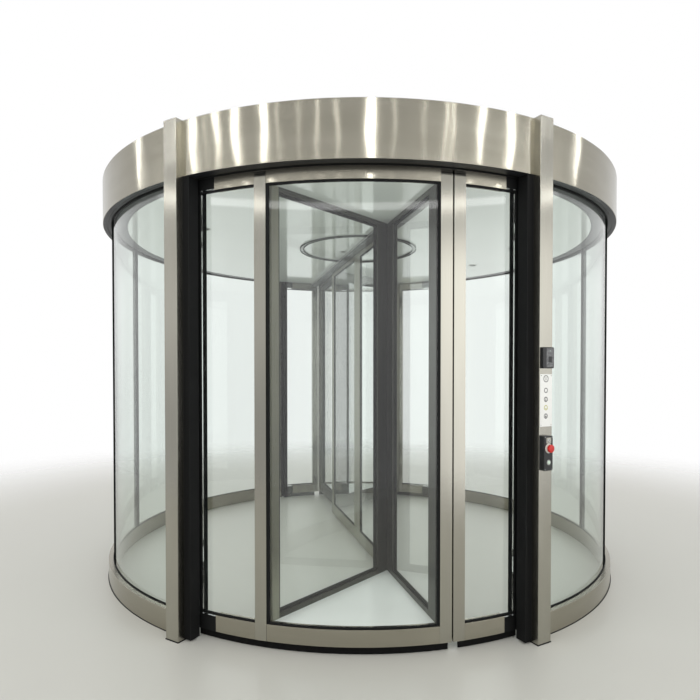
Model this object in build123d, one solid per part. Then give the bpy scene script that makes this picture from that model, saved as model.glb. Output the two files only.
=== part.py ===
from build123d import *
from math import asin, cos, degrees, radians, sin, sqrt, tan
import os

os.makedirs("parts", exist_ok=True)

# The object is an automatic revolving door with two glazed showcases on its rotor.
# Sizes are in millimetres. The origin is on the rotor axis at floor level, +Z is up
# and the front is towards -Y. Angles are measured from the front, positive to the right.

# Clearances: play between fixed pieces, and how far a cutting shape runs past its target
fit = 0.3
overrun = 5

# Drum: curved glass walls on a plinth, left and right of the two entrances
drum_inner_radius = 1800
bead_thick = 3
glass_thick = 12
plinth_width = 48
plinth_height = 120
glass_bite = 25
mullion_width = 40
mullion_depth = 36
mullion_inset = 1
mullion_rebate = 8

# Posts: four radial stainless posts, the front face stands proud of the fascia
post_angle = 29.75
post_width = 90
post_wall = 4
post_proud = 35
post_rise = 6

# Safety edges: black ribbed rubber on the entrance side of each post
edge_width = 45
edge_depth = 62
edge_inset = 2
edge_floor_gap = 8
edge_ribs = 5
rib_groove_width = 4
rib_groove_depth = 4

# Canopy: fascia with its lip, soffit, ring beam, cross beams and roof
canopy_bottom = 2360
canopy_height = 280
fascia_overhang = 70
fascia_thick = 4
fascia_lip = 26
soffit_thick = 36
ring_beam_wall = 20
ring_beam_seat = 5
entrance_flat_count = 4
side_flat_count = 8
bracket_thick = 14
bracket_angles = (0, 60, 90, 120, 180, 240, 270, 300)
roof_thick = 3
roof_drop = 8
beam_height = 90
beam_width = 80
beam_spacing = 260
weld_depth = 6
bearing_width = 260
bearing_height = 100

# Rotor: running gap, rim, ceiling, arms and shaft
running_gap = 10
shell_depth = 50
rim_ledge = 21
rim_height = 30
ceiling_gap = 3
ceiling_thick = 12
arm_width = 120
shaft_radius = 50
centre_ring_outer = 470
centre_ring_inner = 440
trim_thick = 4

# Curved shell of each showcase, lengths along its outer face
brush_bottom = 2
brush_thick = 12
rail_bottom = 43
rail_top = 128
shell_head = 65
access_left = 452
access_right = 471
gap_left = 1.5
gap_right = 8
shell_stile = 62
end_seal_setback = 61
end_seal_width = 31
pane_overrun_left = 91
pane_overrun_right = 62
shell_glass_thick = 10
shell_glass_setback = 8
pane_bite = 10
brush_joint = 57
brush_joint_shift = 12

# Inner walls of each showcase, one along the wing and one diagonal, with an apex post
wing_angle = 15.5
wall_offset = 38
wall_thick = 40
apex_distance = 977
diagonal_angle = -40.2
apex_leg = 98
apex_blunt = 25
wall_rail_top = 150
wall_head = 81
side_end_stile = 98
diagonal_end_stile = 50
wall_glass_thick = 10
platform_top = 122
platform_thick = 20
showcase_roof_drop = 55
showcase_roof_thick = 15

# Diametral wing: header with its track, two bi-parting sliding leaves on hangers
header_width = 124
header_height = 34
header_flange = 4
header_end_gap = 2
track_width = 60
track_height = 26
track_slot = 24
leaf_length = 924
leaf_meeting_gap = 3
leaf_thick = 30
leaf_glass_thick = 10
leaf_stile = 80
leaf_bottom = 15
leaf_rail_top = 105
leaf_top_gap = 5
leaf_head = 28
hanger_length = 90
hanger_inset = 60
hanger_neck = 14
hanger_width = 44
hanger_height = 18

# Fittings on the front right post, heights above the floor
reader_middle = 1445
reader_height = 106
reader_width = 78
reader_thick = 18
reader_corner = 8
notice_middle = 1232
notice_height = 263
notice_width = 84
notice_thick = 2
notice_corner = 3
box_middle = 970
box_height = 173
box_width = 60
box_thick = 30
box_corner = 6
box_shift = -12
button_height = 995
button_radius = 20
button_stem = 11
button_rise = 8
button_cap = 14
button_bevel = 5
button_slope = 3
button_travel = 3
button_play = 0.3

# Radii and heights that follow from the sizes above
glass_inner_radius = drum_inner_radius + bead_thick
glass_outer_radius = glass_inner_radius + glass_thick
plinth_outer_radius = drum_inner_radius + plinth_width
fascia_outer_radius = drum_inner_radius + fascia_overhang
fascia_inner_radius = fascia_outer_radius - fascia_thick
post_face_radius = fascia_outer_radius + post_proud
canopy_top = canopy_bottom + canopy_height
post_top = canopy_top + post_rise
soffit_bottom = canopy_bottom + fascia_thick + fit
soffit_top = soffit_bottom + soffit_thick
frame_top = canopy_top - roof_drop - roof_thick
shell_outer_radius = drum_inner_radius - running_gap
shell_inner_radius = shell_outer_radius - shell_depth
head_bottom = canopy_bottom - shell_head
wall_head_bottom = canopy_bottom - wall_head
showcase_roof_bottom = canopy_bottom - showcase_roof_drop
header_bottom = canopy_bottom - header_height


def at(radius, angle):
    """Plan point at a radius and at an angle from the front."""
    return (radius * sin(radians(angle)), -radius * cos(radians(angle)))


def sector(inner, outer, start, end, bottom, top):
    """Ring segment between two angles."""
    middle = (start + end) / 2
    outline = Line(at(inner, start), at(outer, start))
    outline += ThreePointArc(at(outer, start), at(outer, middle), at(outer, end))
    outline += Line(at(outer, end), at(inner, end))
    outline += ThreePointArc(at(inner, end), at(inner, middle), at(inner, start))
    return Pos(0, 0, bottom) * extrude(make_face(outline), top - bottom, dir=(0, 0, 1))


def swept(section, start, end):
    """Section of radius and height points, swept round the rotor axis between two angles."""
    corners = [(radius, 0, height) for radius, height in section]
    face = make_face(Polyline(*corners, close=True))
    return Rot(0, 0, start - 90) * revolve(face, Axis.Z, end - start)


def ring(inner, outer, bottom, top):
    """Full ring about the rotor axis."""
    height = top - bottom
    middle = (bottom + top) / 2
    return Pos(0, 0, middle) * (Cylinder(outer, height) - Cylinder(inner, height * 2))


def disc(radius, bottom, top):
    """Full disc about the rotor axis."""
    return Pos(0, 0, (bottom + top) / 2) * Cylinder(radius, top - bottom)


def prism(points, bottom, top):
    """Upright prism over a plan outline."""
    return Pos(0, 0, bottom) * extrude(make_face(Polyline(*points, close=True)), top - bottom, dir=(0, 0, 1))


def slab(x0, x1, y0, y1, z0, z1):
    """Upright box between two corners."""
    middle = Pos((x0 + x1) / 2, (y0 + y1) / 2, (z0 + z1) / 2)
    return middle * Box(x1 - x0, y1 - y0, z1 - z0)


def turned(shape, angle):
    """Turn a shape about the rotor axis, positive to the right seen from the front."""
    return Rot(0, 0, angle) * shape


def on_post(angle, side0, side1, depth0, depth1, bottom, top):
    """Box set by its offset along the post face and by its distance from the axis."""
    return turned(slab(side0, side1, -depth1, -depth0, bottom, top), angle)


def on_wing(along0, along1, side0, side1, bottom, top):
    """Box set by its distance along the wing and by its offset to the right."""
    return turned(slab(side0, side1, -along1, -along0, bottom, top), wing_angle)


def group(items):
    """Several separate solids that share a node."""
    return Compound(children=[part for item in items for part in item.solids()])


def cut(shape, tools):
    """Take several tools out of a shape, which may fall into more than one solid."""
    pieces = [shape]
    for tool in tools:
        pieces = [part for piece in pieces for part in (piece - tool).solids()]
    return group(pieces)


def save(name, shape):
    """Write one named piece."""
    export_step(shape, "parts/" + name + ".step")


# Posts: folded boxes, closed at the top and open at the foot
half_width = post_width / 2
post_angles = {
    "post_front_right": post_angle,
    "post_front_left": -post_angle,
    "post_back_right": 180 - post_angle,
    "post_back_left": post_angle - 180,
}
for name, angle in post_angles.items():
    box = on_post(angle, -half_width, half_width, drum_inner_radius, post_face_radius, 0, post_top)
    room = on_post(
        angle,
        post_wall - half_width,
        half_width - post_wall,
        drum_inner_radius + post_wall,
        post_face_radius - post_wall,
        -overrun,
        post_top - post_wall,
    )
    save(name, box - room)

# Room that the posts take out of the plinth, the glass, the soffit, the fascia and the roof
clear_half = half_width + fit
post_room = [
    on_post(
        angle,
        -clear_half,
        clear_half,
        drum_inner_radius - overrun,
        post_face_radius + overrun,
        -overrun,
        post_top + overrun,
    )
    for angle in post_angles.values()
]

# Plinths: curved base channels, one section with the groove that holds the glass
groove_inner = glass_inner_radius - fit
groove_outer = glass_outer_radius + fit
groove_floor = plinth_height - glass_bite
plinth_section = (
    (drum_inner_radius, 0),
    (plinth_outer_radius, 0),
    (plinth_outer_radius, plinth_height),
    (groove_outer, plinth_height),
    (groove_outer, groove_floor),
    (groove_inner, groove_floor),
    (groove_inner, plinth_height),
    (drum_inner_radius, plinth_height),
)
wall_spans = {
    "right": (post_angle, 180 - post_angle),
    "left": (180 + post_angle, 360 - post_angle),
}
for name, (start, end) in wall_spans.items():
    save("plinth_" + name, cut(swept(plinth_section, start, end), post_room))

# Curved wall glass: two panes on each side, with the black joint profile between them
glass_top = soffit_bottom + glass_bite
joint_half = degrees(asin((mullion_width / 2 - mullion_rebate) / glass_inner_radius))
for name, (start, end) in wall_spans.items():
    centre = (start + end) / 2
    panes = []
    for pane_start, pane_end in ((start, centre - joint_half), (centre + joint_half, end)):
        pane = sector(glass_inner_radius, glass_outer_radius, pane_start, pane_end, groove_floor, glass_top)
        panes.append(cut(pane, post_room))
    save("wall_glass_" + name, group(panes))

mullions = []
rebate_reach = degrees(mullion_width / glass_inner_radius)
for start, end in wall_spans.values():
    centre = (start + end) / 2
    bar = on_post(
        centre,
        -mullion_width / 2,
        mullion_width / 2,
        drum_inner_radius + mullion_inset,
        drum_inner_radius + mullion_inset + mullion_depth,
        plinth_height,
        soffit_bottom,
    )
    for side in (-1, 1):
        rebate_start = centre + side * (joint_half - degrees(fit / glass_inner_radius))
        rebate_end = rebate_start + side * rebate_reach
        bar -= sector(groove_inner, groove_outer, rebate_start, rebate_end, 0, canopy_top)
    mullions.append(bar)
save("wall_mullions", group(mullions))

# Safety edges: one ribbed section, run up the entrance side of each post
edge_root = half_width + fit
edge_back = drum_inner_radius + edge_inset
edge_face = edge_back + edge_depth
rib_pitch = edge_width / edge_ribs


def edge_outline(side):
    """Plan outline of a safety edge, with V grooves between the ribs of its face."""
    points = [(edge_root, edge_back), (edge_root, edge_face)]
    for rib in range(1, edge_ribs):
        groove = edge_root + rib * rib_pitch
        points.append((groove - rib_groove_width / 2, edge_face))
        points.append((groove, edge_face - rib_groove_depth))
        points.append((groove + rib_groove_width / 2, edge_face))
    points.append((edge_root + edge_width, edge_face))
    points.append((edge_root + edge_width, edge_back))
    return [(-side * offset, -depth) for offset, depth in points]


for name, centre in (("front", 0), ("back", 180)):
    seals = []
    for side in (-1, 1):
        seal = prism(edge_outline(side), edge_floor_gap, canopy_bottom - fit)
        seals.append(turned(seal, centre + side * post_angle))
    save("edge_seals_" + name, group(seals))

# Fascia: stainless band with an inward lip at its foot, between the posts
lip_radius = fascia_outer_radius - fascia_lip
fascia_section = (
    (fascia_outer_radius, canopy_bottom),
    (fascia_outer_radius, canopy_top),
    (fascia_inner_radius, canopy_top),
    (fascia_inner_radius, canopy_bottom + fascia_thick),
    (lip_radius, canopy_bottom + fascia_thick),
    (lip_radius, canopy_bottom),
)
fascia_spans = {
    "fascia_front": (-post_angle, post_angle),
    "fascia_right": (post_angle, 180 - post_angle),
    "fascia_back": (180 - post_angle, 180 + post_angle),
    "fascia_left": (180 + post_angle, 360 - post_angle),
}
for name, (start, end) in fascia_spans.items():
    save(name, cut(swept(fascia_section, start, end), post_room))

# Soffit: black ring on the lip of the fascia, it holds the heads of the glass
soffit = ring(drum_inner_radius, fascia_inner_radius - fit, soffit_bottom, soffit_top)
head_grooves = [
    sector(groove_inner, groove_outer, start, end, soffit_bottom - overrun, glass_top)
    for start, end in wall_spans.values()
]
save("soffit_ring", cut(soffit, head_grooves + post_room))

# Canopy frame: ring beam of straight lengths welded end to end, with a flat on each post
corner_angles = []
for centre, half, flats in (
    (0, post_angle, entrance_flat_count),
    (90, 90 - post_angle, side_flat_count),
    (180, post_angle, entrance_flat_count),
    (270, 90 - post_angle, side_flat_count),
):
    first = centre - half + ring_beam_seat
    last = centre + half - ring_beam_seat
    corner_angles += [first + (last - first) * step / flats for step in range(flats + 1)]
beam_corner_radius = (drum_inner_radius - fit) / cos(radians(ring_beam_seat))
beam_room_radius = beam_corner_radius - ring_beam_wall
frame = prism([at(beam_corner_radius, angle) for angle in corner_angles], soffit_top, frame_top)
frame -= prism(
    [at(beam_room_radius, angle) for angle in corner_angles], soffit_top - overrun, frame_top + overrun
)

# Cross beams in both directions, brackets out to the fascia and the bearing block
beam_bottom = frame_top - beam_height
entrance_half_flat = (post_angle - ring_beam_seat) / entrance_flat_count
reach = beam_room_radius * cos(radians(entrance_half_flat)) + weld_depth
for offset in (-beam_spacing / 2, beam_spacing / 2):
    low = offset - beam_width / 2
    high = offset + beam_width / 2
    frame += slab(-reach, reach, low, high, beam_bottom, frame_top)
    frame += slab(low, high, -reach, reach, beam_bottom, frame_top)
for angle in bracket_angles:
    frame += on_post(
        angle,
        -bracket_thick / 2,
        bracket_thick / 2,
        beam_room_radius,
        fascia_inner_radius - fit,
        soffit_top,
        frame_top,
    )
bearing_bottom = beam_bottom - bearing_height
bearing_half = bearing_width / 2
frame += slab(-bearing_half, bearing_half, -bearing_half, bearing_half, bearing_bottom, frame_top)
frame -= disc(shaft_radius + fit, bearing_bottom - overrun, frame_top + overrun)
save("canopy_frame", frame)

roof = disc(fascia_inner_radius - fit, frame_top, frame_top + roof_thick)
save("canopy_roof", cut(roof, post_room))

# Rotor frame: rim that carries the showcases, four arms, hub plate and the shaft
rim_top = canopy_bottom + rim_height
rim_inner_radius = shell_inner_radius - rim_ledge
ceiling_top = canopy_bottom + ceiling_thick
arm_reach = rim_inner_radius + weld_depth
arm_half = arm_width / 2
rotor_frame = ring(rim_inner_radius, shell_outer_radius, canopy_bottom, rim_top)
rotor_frame += on_wing(-arm_reach, arm_reach, -arm_half, arm_half, ceiling_top, rim_top)
rotor_frame += on_wing(-arm_half, arm_half, -arm_reach, arm_reach, ceiling_top, rim_top)
hub_top = bearing_bottom - fit
rotor_frame += on_wing(-bearing_half, bearing_half, -bearing_half, bearing_half, rim_top, hub_top)
rotor_frame += disc(shaft_radius, ceiling_top, beam_bottom)
save("rotor_frame", rotor_frame)

# Rotor ceiling: light panel inside the rim, with the trim ring round its middle
save("rotor_ceiling", disc(rim_inner_radius - ceiling_gap, canopy_bottom, ceiling_top))

header_half = header_width / 2
trim = ring(centre_ring_inner, centre_ring_outer, canopy_bottom - trim_thick, canopy_bottom)
trim_cut = on_wing(
    -centre_ring_outer - overrun,
    centre_ring_outer + overrun,
    -header_half - fit,
    header_half + fit,
    canopy_bottom - trim_thick - overrun,
    canopy_bottom + overrun,
)
save("centre_ring", cut(trim, [trim_cut]))

# Plan of a showcase: inner corner, the two wall lines and the tip where their outer faces meet
wall_inner = -wall_offset - wall_thick
corner_half = radians((wing_angle - diagonal_angle) / 2)
tip_setback = wall_thick / tan(corner_half)


def wing_point(along, side):
    """Plan point at a distance along the wing and an offset to its right."""
    turn = radians(wing_angle)
    return (side * cos(turn) + along * sin(turn), side * sin(turn) - along * cos(turn))


corner = wing_point(apex_distance, wall_inner)


def diagonal_point(along, side):
    """Plan point along the diagonal wall from the inner corner, outside is negative."""
    turn = radians(diagonal_angle)
    x = corner[0] + side * cos(turn) + along * sin(turn)
    y = corner[1] + side * sin(turn) - along * cos(turn)
    return (x, y)


def on_diagonal(along0, along1, side0, side1, bottom, top):
    """Box along the diagonal wall."""
    outline = [
        diagonal_point(along0, side0),
        diagonal_point(along1, side0),
        diagonal_point(along1, side1),
        diagonal_point(along0, side1),
    ]
    return prism(outline, bottom, top)


def reach_to(radius):
    """Distance along the diagonal wall from the inner corner to a radius."""
    step = diagonal_point(1, 0)
    dot = corner[0] * (step[0] - corner[0]) + corner[1] * (step[1] - corner[1])
    square = corner[0] ** 2 + corner[1] ** 2 - radius ** 2
    return sqrt(dot ** 2 - square) - dot


side_reach = sqrt(shell_inner_radius ** 2 - wall_inner ** 2)
diagonal_reach = reach_to(shell_inner_radius)
inner_limit = disc(shell_inner_radius - fit, 0, canopy_top)
past_shell = shell_inner_radius


def side_wall(along0, along1, thick, bottom, top):
    """Length of the wall beside the wing, centred in its thickness."""
    middle = wall_inner + wall_thick / 2
    return on_wing(apex_distance + along0, along1, middle - thick / 2, middle + thick / 2, bottom, top)


def diagonal_wall(along0, along1, thick, bottom, top):
    """Length of the diagonal wall, centred in its thickness."""
    middle = -wall_thick / 2
    return on_diagonal(along0, along1, middle - thick / 2, middle + thick / 2, bottom, top)


def wall_pieces(wall, end_of_wall, end_stile):
    """Frame, pane and groove of one wall, from the apex post to the shell."""
    start = apex_leg + fit
    frame = wall(start, past_shell, wall_thick, rail_bottom, wall_rail_top)
    frame += wall(start, past_shell, wall_thick, wall_head_bottom, canopy_bottom)
    stile = wall(start, past_shell, wall_thick, rail_bottom, canopy_bottom)
    stile -= wall(0, end_of_wall - end_stile, wall_thick + overrun, 0, canopy_top)
    frame += stile
    low = wall_rail_top - pane_bite
    high = wall_head_bottom + pane_bite
    pane_start = apex_leg - pane_bite
    pane_end = end_of_wall - end_stile + pane_bite
    pane = wall(pane_start, pane_end, wall_glass_thick, low, high)
    groove = wall(pane_start - fit, pane_end + fit, wall_glass_thick + 2 * fit, low, high)
    return (frame - groove) & inner_limit, pane, groove


side_frame, side_pane, side_groove = wall_pieces(side_wall, side_reach, side_end_stile)
diagonal_frame, diagonal_pane, diagonal_groove = wall_pieces(
    diagonal_wall, diagonal_reach, diagonal_end_stile
)

# Apex post: angled profile with a leg along each wall and a blunt outer tip
tip_start = apex_blunt - tip_setback
apex_outline = [
    corner,
    wing_point(apex_distance + apex_leg, wall_inner),
    wing_point(apex_distance + apex_leg, -wall_offset),
    wing_point(apex_distance + tip_start, -wall_offset),
    diagonal_point(tip_start, -wall_thick),
    diagonal_point(apex_leg, -wall_thick),
    diagonal_point(apex_leg, 0),
]
apex_post = prism(apex_outline, rail_bottom, canopy_bottom) - side_groove - diagonal_groove

# Showcase floor and roof: slabs between the two walls and the shell
room_setback = fit / tan(corner_half)
room_corner = wing_point(apex_distance + room_setback, wall_inner - fit)
room_right = wing_point(apex_distance + past_shell, wall_inner - fit)
room_left = diagonal_point(past_shell, fit)


def room_slab(bottom, top):
    """Slab that fills the plan of the showcase."""
    return prism([room_corner, room_right, room_left], bottom, top) & inner_limit


platform = room_slab(platform_top - platform_thick, platform_top)
showcase_roof = room_slab(showcase_roof_bottom, showcase_roof_bottom + showcase_roof_thick)


# Shell: two side panels and the access panel between them, all rolled to one radius
def arc(length):
    """Angle that a length takes up along the outer face of the shell."""
    return degrees(length / shell_outer_radius)


def shell_bar(start, end, bottom, top):
    """Curved bar in the shell."""
    return sector(shell_inner_radius, shell_outer_radius, start, end, bottom, top)


def shell_panel(start, end, stile_start, stile_end):
    """Rails and one stile of a panel."""
    bar = shell_bar(start, end, rail_bottom, rail_top)
    bar += shell_bar(start, end, head_bottom, canopy_bottom)
    bar += shell_bar(stile_start, stile_end, rail_bottom, canopy_bottom)
    return bar


seal_end = post_angle - arc(end_seal_setback)
shell_end = seal_end - arc(end_seal_width)
left_rail_end = shell_end - arc(pane_overrun_left)
right_rail_end = shell_end - arc(pane_overrun_right)
access_start = -arc(access_left)
access_end = arc(access_right)
left_stile_end = access_start - arc(gap_left)
left_stile_start = left_stile_end - arc(shell_stile)
access_stile_start = access_end - arc(shell_stile)
right_stile_start = access_end + arc(gap_right)
right_stile_end = right_stile_start + arc(shell_stile)

pane_outer_radius = shell_outer_radius - shell_glass_setback
pane_inner_radius = pane_outer_radius - shell_glass_thick
bite = arc(pane_bite)
play = arc(fit)
pane_low = rail_top - pane_bite
pane_high = head_bottom + pane_bite
panels = [
    shell_panel(-left_rail_end, left_stile_end, left_stile_start, left_stile_end),
    shell_panel(access_start, access_end, access_stile_start, access_end),
    shell_panel(right_stile_start, right_rail_end, right_stile_start, right_stile_end),
]
pane_spans = (
    (-shell_end, left_stile_start + bite),
    (access_start + play, access_stile_start + bite),
    (right_stile_end - bite, shell_end),
)
panes = []
framed = []
for panel, (start, end) in zip(panels, pane_spans):
    panes.append(sector(pane_inner_radius, pane_outer_radius, start, end, pane_low, pane_high))
    groove = sector(
        pane_inner_radius - fit, pane_outer_radius + fit, start - play, end + play, pane_low, pane_high
    )
    framed.append(panel - groove)
left_panel, access, right_panel = framed

# End seals: black end strips of the shell and the blocks that close its rails
end_bars = []
for side, rail_end in ((-1, left_rail_end), (1, right_rail_end)):
    strip = sorted((side * (shell_end + play), side * seal_end))
    block = sorted((side * (rail_end + play), side * shell_end))
    end_bars.append(shell_bar(*strip, rail_bottom, canopy_bottom))
    end_bars.append(shell_bar(*block, rail_bottom, pane_low - fit))
    end_bars.append(shell_bar(*block, pane_high + fit, canopy_bottom))

# Floor brushes: two curved strips under the rails, parted under the right edge of the access panel
brush_middle = (shell_inner_radius + shell_outer_radius) / 2
brush_inner = brush_middle - brush_thick / 2
brush_outer = brush_middle + brush_thick / 2
brush_split = (access_end + right_stile_start) / 2 + arc(brush_joint_shift)
brush_half_joint = arc(brush_joint) / 2
brushes = [
    sector(brush_inner, brush_outer, -seal_end, brush_split - brush_half_joint, brush_bottom, rail_bottom),
    sector(brush_inner, brush_outer, brush_split + brush_half_joint, seal_end, brush_bottom, rail_bottom),
]

for name, angle in (("front", 0), ("back", 180)):
    save("shell_frame_" + name, group([turned(left_panel, angle), turned(right_panel, angle)]))
    save("access_panel_" + name, turned(access, angle))
    save("shell_glass_" + name, group([turned(pane, angle) for pane in panes]))
    save("showcase_walls_" + name, group([turned(side_frame, angle), turned(diagonal_frame, angle)]))
    save("showcase_glass_" + name, group([turned(side_pane, angle), turned(diagonal_pane, angle)]))
    save("apex_post_" + name, turned(apex_post, angle))
    save("showcase_floor_" + name, turned(platform, angle))
    save("showcase_roof_" + name, turned(showcase_roof, angle))
    save("end_seals_" + name, group([turned(bar, angle) for bar in end_bars]))
    save("floor_brushes_" + name, group([turned(brush, angle) for brush in brushes]))

# Wing header: hollow channel between the two shells, slimmer where it passes the side walls
apex_tip = apex_distance - tip_setback
header_end = sqrt(shell_inner_radius ** 2 - header_half ** 2) - header_end_gap
header = on_wing(-apex_tip, apex_tip, -header_half, header_half, header_bottom, canopy_bottom)
slim_arm = on_wing(0, header_end, fit - wall_offset, header_half, header_bottom, canopy_bottom)
header += slim_arm
header += turned(slim_arm, 180)
track_floor = header_bottom + header_flange
past_header = header_end + overrun
track_half = track_width / 2
slot_half = track_slot / 2
header -= on_wing(-past_header, past_header, -track_half, track_half, track_floor, track_floor + track_height)
slot_low = header_bottom - overrun
slot_high = track_floor + overrun
header -= on_wing(-past_header, past_header, -slot_half, slot_half, slot_low, slot_high)
save("wing_header", header)

# Sliding leaves: framed panes that hang in the track on two hangers each
leaf_start = leaf_meeting_gap / 2
leaf_half = leaf_thick / 2
leaf_top = header_bottom - leaf_top_gap
leaf_head_bottom = leaf_top - leaf_head
leaf_frame = on_wing(leaf_start, leaf_length, -leaf_half, leaf_half, leaf_bottom, leaf_top)
light_from = leaf_start + leaf_stile
light_to = leaf_length - leaf_stile
leaf_frame -= on_wing(light_from, light_to, -leaf_thick, leaf_thick, leaf_rail_top, leaf_head_bottom)
pane_from = light_from - pane_bite
pane_to = light_to + pane_bite
pane_half = leaf_glass_thick / 2
leaf_low = leaf_rail_top - pane_bite
leaf_high = leaf_head_bottom + pane_bite
leaf_pane = on_wing(pane_from, pane_to, -pane_half, pane_half, leaf_low, leaf_high)
leaf_frame -= on_wing(
    pane_from - fit, pane_to + fit, -pane_half - fit, pane_half + fit, leaf_low, leaf_high
)
neck_half = hanger_neck / 2
shoe_half = hanger_width / 2
shoe_bottom = track_floor + fit
for start in (leaf_start + hanger_inset, leaf_length - hanger_inset - hanger_length):
    end = start + hanger_length
    leaf_frame += on_wing(start, end, -neck_half, neck_half, leaf_top - fit, shoe_bottom + fit)
    leaf_frame += on_wing(start, end, -shoe_half, shoe_half, shoe_bottom, shoe_bottom + hanger_height)
for name, angle in (("front", 0), ("back", 180)):
    save("leaf_frame_" + name, turned(leaf_frame, angle))
    save("leaf_glass_" + name, turned(leaf_pane, angle))


# Fittings on the front right post: rounded plates that lie on its face
def post_plate(width, height, thick, corner_radius, shift, middle):
    """Rounded plate on the face of the front right post."""
    plate = extrude(RectangleRounded(width, height, corner_radius), thick)
    return turned(Pos(shift, -post_face_radius, middle) * (Rot(90, 0, 0) * plate), post_angle)


save("card_reader", post_plate(reader_width, reader_height, reader_thick, reader_corner, 0, reader_middle))
save("notice_plate", post_plate(notice_width, notice_height, notice_thick, notice_corner, 0, notice_middle))

control_box = post_plate(box_width, box_height, box_thick, box_corner, box_shift, box_middle)
button_axis = turned(Pos(box_shift, -post_face_radius, button_height) * Rot(90, 0, 0), post_angle)
bore_depth = box_thick / 2
bore = button_axis * Pos(0, 0, box_thick) * Cylinder(button_stem + button_play, box_thick)
save("control_box", control_box - bore)

# Stop button: mushroom head on its stem, one section turned about its own axis
head_start = box_thick + button_rise
head_end = head_start + button_cap
stem_end = bore_depth + button_travel + button_play
button_section = Polyline(
    (0, stem_end),
    (button_stem, stem_end),
    (button_stem, head_start),
    (button_radius, head_start),
    (button_radius, head_end - button_slope),
    (button_radius - button_bevel, head_end),
    (0, head_end),
    close=True,
)
button = revolve(Plane.XZ * make_face(button_section), Axis.Z)
save("stop_button", button_axis * button)
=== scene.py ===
from math import asin, atan2, copysign, cos, degrees, hypot, pi, radians, sin, sqrt, tan

import bmesh
import bpy
from mathutils import Matrix, Vector


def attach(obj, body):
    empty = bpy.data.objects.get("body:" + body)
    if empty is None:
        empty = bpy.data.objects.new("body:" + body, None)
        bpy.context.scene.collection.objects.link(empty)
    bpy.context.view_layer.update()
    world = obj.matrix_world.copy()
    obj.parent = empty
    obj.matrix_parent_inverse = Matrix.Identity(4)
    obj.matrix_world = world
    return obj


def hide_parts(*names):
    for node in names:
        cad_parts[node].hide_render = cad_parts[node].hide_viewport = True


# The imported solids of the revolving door: a fixed drum, a rotor, two sliding leaves and a stop button. The
# front is towards -Y and the rotor turns about Z. Sizes are in mm. Angles are in degrees from the front,
# positive to the right.
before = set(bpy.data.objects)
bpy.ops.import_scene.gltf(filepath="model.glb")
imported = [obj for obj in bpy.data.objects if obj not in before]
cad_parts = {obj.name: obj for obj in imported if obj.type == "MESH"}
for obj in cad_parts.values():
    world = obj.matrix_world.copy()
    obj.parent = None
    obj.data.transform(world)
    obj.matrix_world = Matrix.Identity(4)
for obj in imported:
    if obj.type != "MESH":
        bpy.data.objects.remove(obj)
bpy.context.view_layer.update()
scene = bpy.context.scene


# Plinths: two channels of 1.5 mm stainless sheet, folded and rolled to the drum's radius, that stand on the
# floor and hold the foot of the curved glass. Each side is two lengths with a hairline joint in the middle.
drum_radius = 1800
plinth_outer = 1848
plinth_height = 120
plinth_joint = 0.03
post_angle = 29.75
side_half = 90 - post_angle
side_middles = {"right": 90, "left": 270}


def linear(code):
    """Linear colour of an sRGB hex code."""
    channels = [int(code[place:place + 2], 16) / 255 for place in (1, 3, 5)]
    return [c / 12.92 if c <= 0.04045 else ((c + 0.055) / 1.055) ** 2.4 for c in channels] + [1.0]


def add_node(tree, kind, links=None, **settings):
    """Add a shader node, set what it is, and set or link its sockets."""
    node = tree.nodes.new("ShaderNode" + kind)
    for name, value in settings.items():
        setattr(node, name, value)
    for name, value in (links or {}).items():
        if isinstance(value, bpy.types.NodeSocket):
            tree.links.new(value, node.inputs[name])
        else:
            node.inputs[name].default_value = value
    return node


def new_finish(name):
    """Empty material and its node tree."""
    material = bpy.data.materials.new(name)
    material.use_nodes = True
    material.node_tree.nodes.clear()
    return material, material.node_tree


def close_finish(tree, shader):
    """Link the last shader to the material's surface."""
    add_node(tree, "OutputMaterial", {"Surface": shader.outputs[0]})


def brushed_metal(name, codes, roughness, line_gap, cross):
    """Brushed or extruded metal with lines line_gap mm apart along the grain map. Tone and gloss vary between
    two values each, and highlights draw out across the lines."""
    line_length, stain_length, stain_width = 250, 770, 111
    material, tree = new_finish(name)
    grain = add_node(tree, "UVMap", uv_map="grain")
    stretch = add_node(tree, "Mapping", {
        "Vector": grain.outputs["UV"], "Scale": (1000 / line_length, 1000 / line_gap, 1)})
    hair = add_node(tree, "TexNoise", {
        "Vector": stretch.outputs["Vector"], "Scale": 1.0, "Detail": 5.0, "Roughness": 0.65})
    broad = add_node(tree, "Mapping", {
        "Vector": grain.outputs["UV"], "Scale": (1000 / stain_length, 1000 / stain_width, 1)})
    stain = add_node(tree, "TexNoise", {"Vector": broad.outputs["Vector"], "Scale": 1.0, "Detail": 2.0})
    mixed = add_node(tree, "Mix", {
        "Factor": 0.45, "A": hair.outputs["Fac"], "B": stain.outputs["Fac"]}, data_type="FLOAT")
    tone = add_node(tree, "ValToRGB", {"Fac": mixed.outputs["Result"]})
    for stop, share, code in zip(tone.color_ramp.elements, (0.3, 0.7), codes):
        stop.position = share
        stop.color = linear(code)
    matt = add_node(tree, "MapRange", {
        "Value": mixed.outputs["Result"], "From Min": 0.3, "From Max": 0.7,
        "To Min": roughness[0], "To Max": roughness[1]})
    relief = add_node(tree, "Bump", {
        "Height": hair.outputs["Fac"], "Strength": 0.3, "Distance": 0.0001})
    along = add_node(tree, "Tangent", direction_type="UV_MAP", uv_map="grain")
    close_finish(tree, add_node(tree, "BsdfPrincipled", {
        "Base Color": tone.outputs["Color"], "Metallic": 1.0, "Roughness": matt.outputs["Result"],
        "Anisotropic": cross, "Anisotropic Rotation": 0.25, "Tangent": along.outputs["Tangent"],
        "Normal": relief.outputs["Normal"]}))
    return material


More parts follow.
